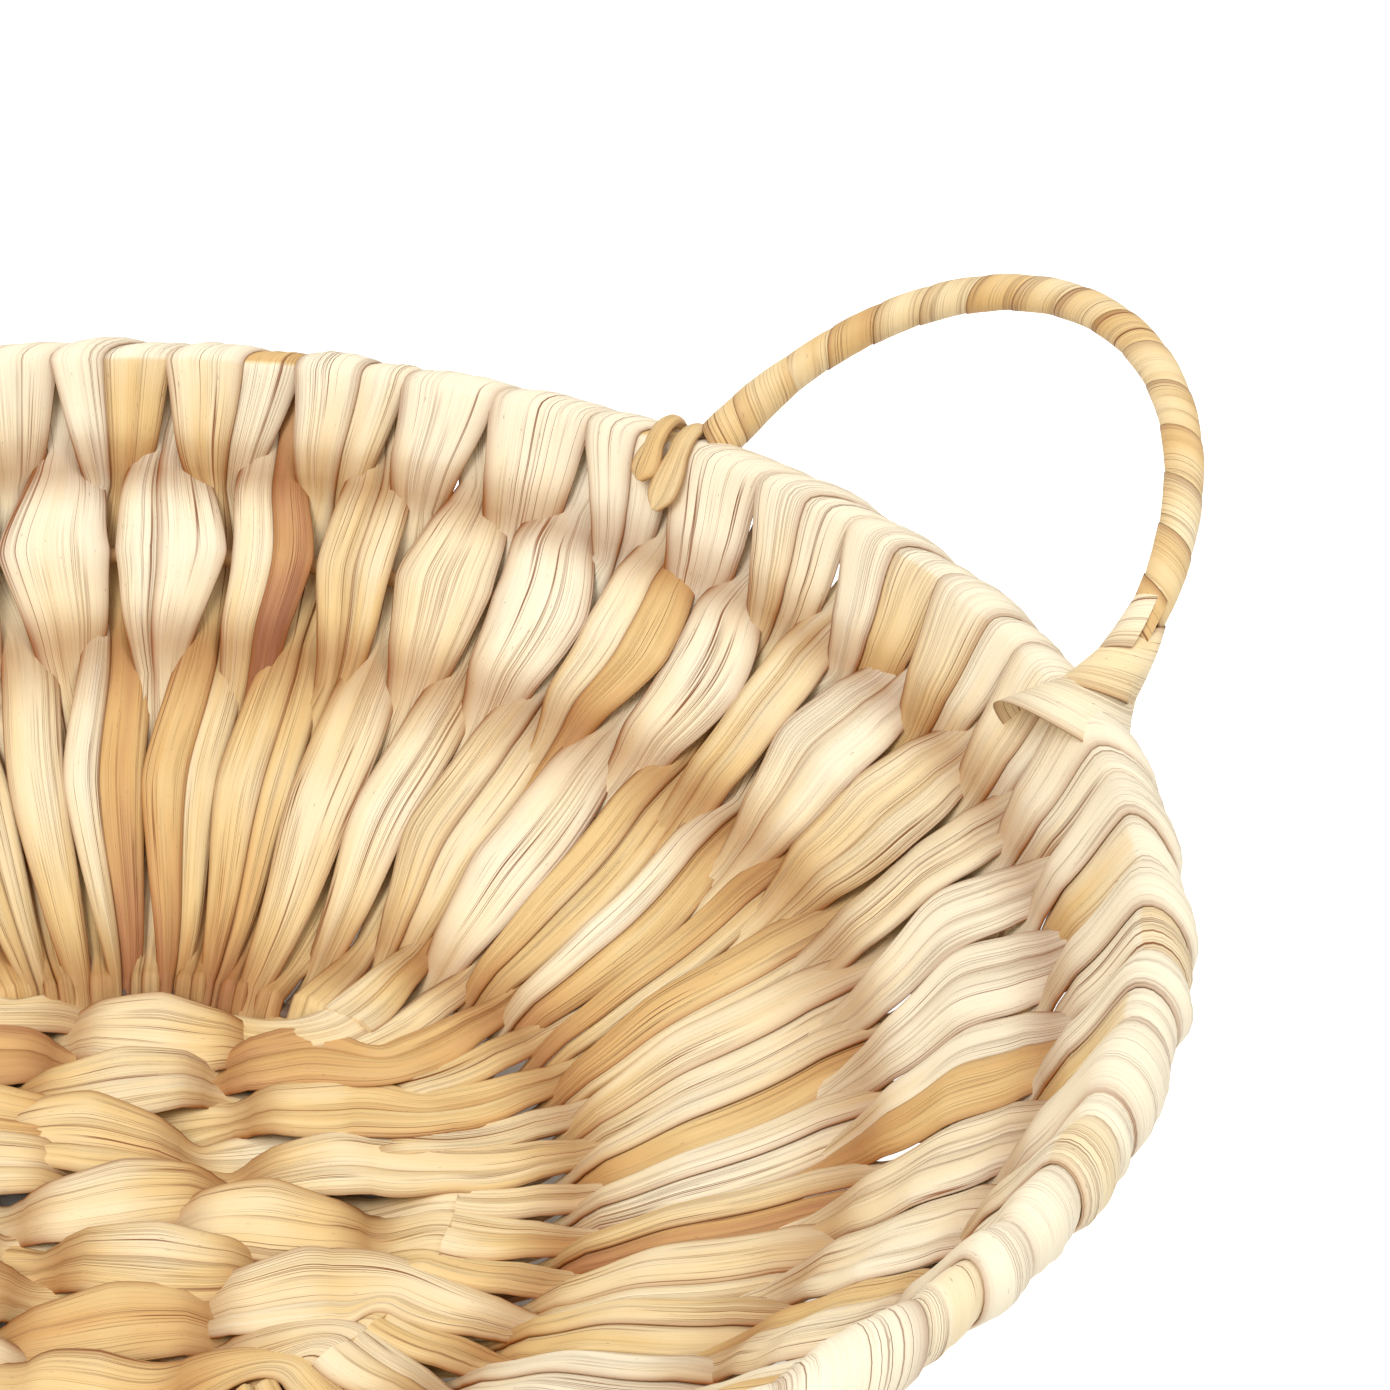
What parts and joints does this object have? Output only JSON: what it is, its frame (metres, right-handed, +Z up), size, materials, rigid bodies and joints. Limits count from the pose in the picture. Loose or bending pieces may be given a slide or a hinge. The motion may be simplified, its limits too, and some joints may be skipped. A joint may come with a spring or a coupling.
{
  "type": "woven bowl basket",
  "caption": "Round shallow bowl basket of flattened plant stalks woven over a steel wire frame, with wrapped wire loop handles on opposite sides of the rim.",
  "frame": {"origin": "centre of the base on the floor", "axes": "+Z up, +X from the centre of the bowl towards one handle"},
  "size_m": [0.385, 0.3202, 0.1305],
  "materials": {
    "stalk": "dried plant stalk, matte with a slight sheen and fine lengthwise fibres",
    "frame_wire": "dark lacquered steel wire",
    "leaf_wrap": "dried leaf strip, matte with a slight sheen"
  },
  "bodies": {
    "root": {"wall_panel_01": "stalk", "wall_panel_02": "stalk", "wall_panel_03": "stalk", "wall_panel_04": "stalk", "wall_panel_05": "stalk", "wall_panel_06": "stalk", "wall_panel_07": "stalk", "wall_panel_08": "stalk", "wall_panel_09": "stalk", "wall_panel_10": "stalk", "wall_panel_11": "stalk", "base_row_1": "stalk", "base_row_2": "stalk", "base_row_3": "stalk", "base_row_4": "stalk", "base_row_5": "stalk", "base_row_6": "stalk", "base_row_7": "stalk", "rim_wire": "frame_wire", "upper_hoop": "frame_wire", "lower_hoop": "frame_wire", "base_ring": "frame_wire", "cross_wires": "frame_wire", "handle_wire_right": "frame_wire", "handle_wire_left": "frame_wire", "handle_wrap_right": "leaf_wrap", "handle_wrap_left": "leaf_wrap", "foot_binding_right_1": "leaf_wrap", "foot_binding_right_2": "leaf_wrap", "foot_binding_left_1": "leaf_wrap", "foot_binding_left_2": "leaf_wrap"}
  },
  "joints": []
}
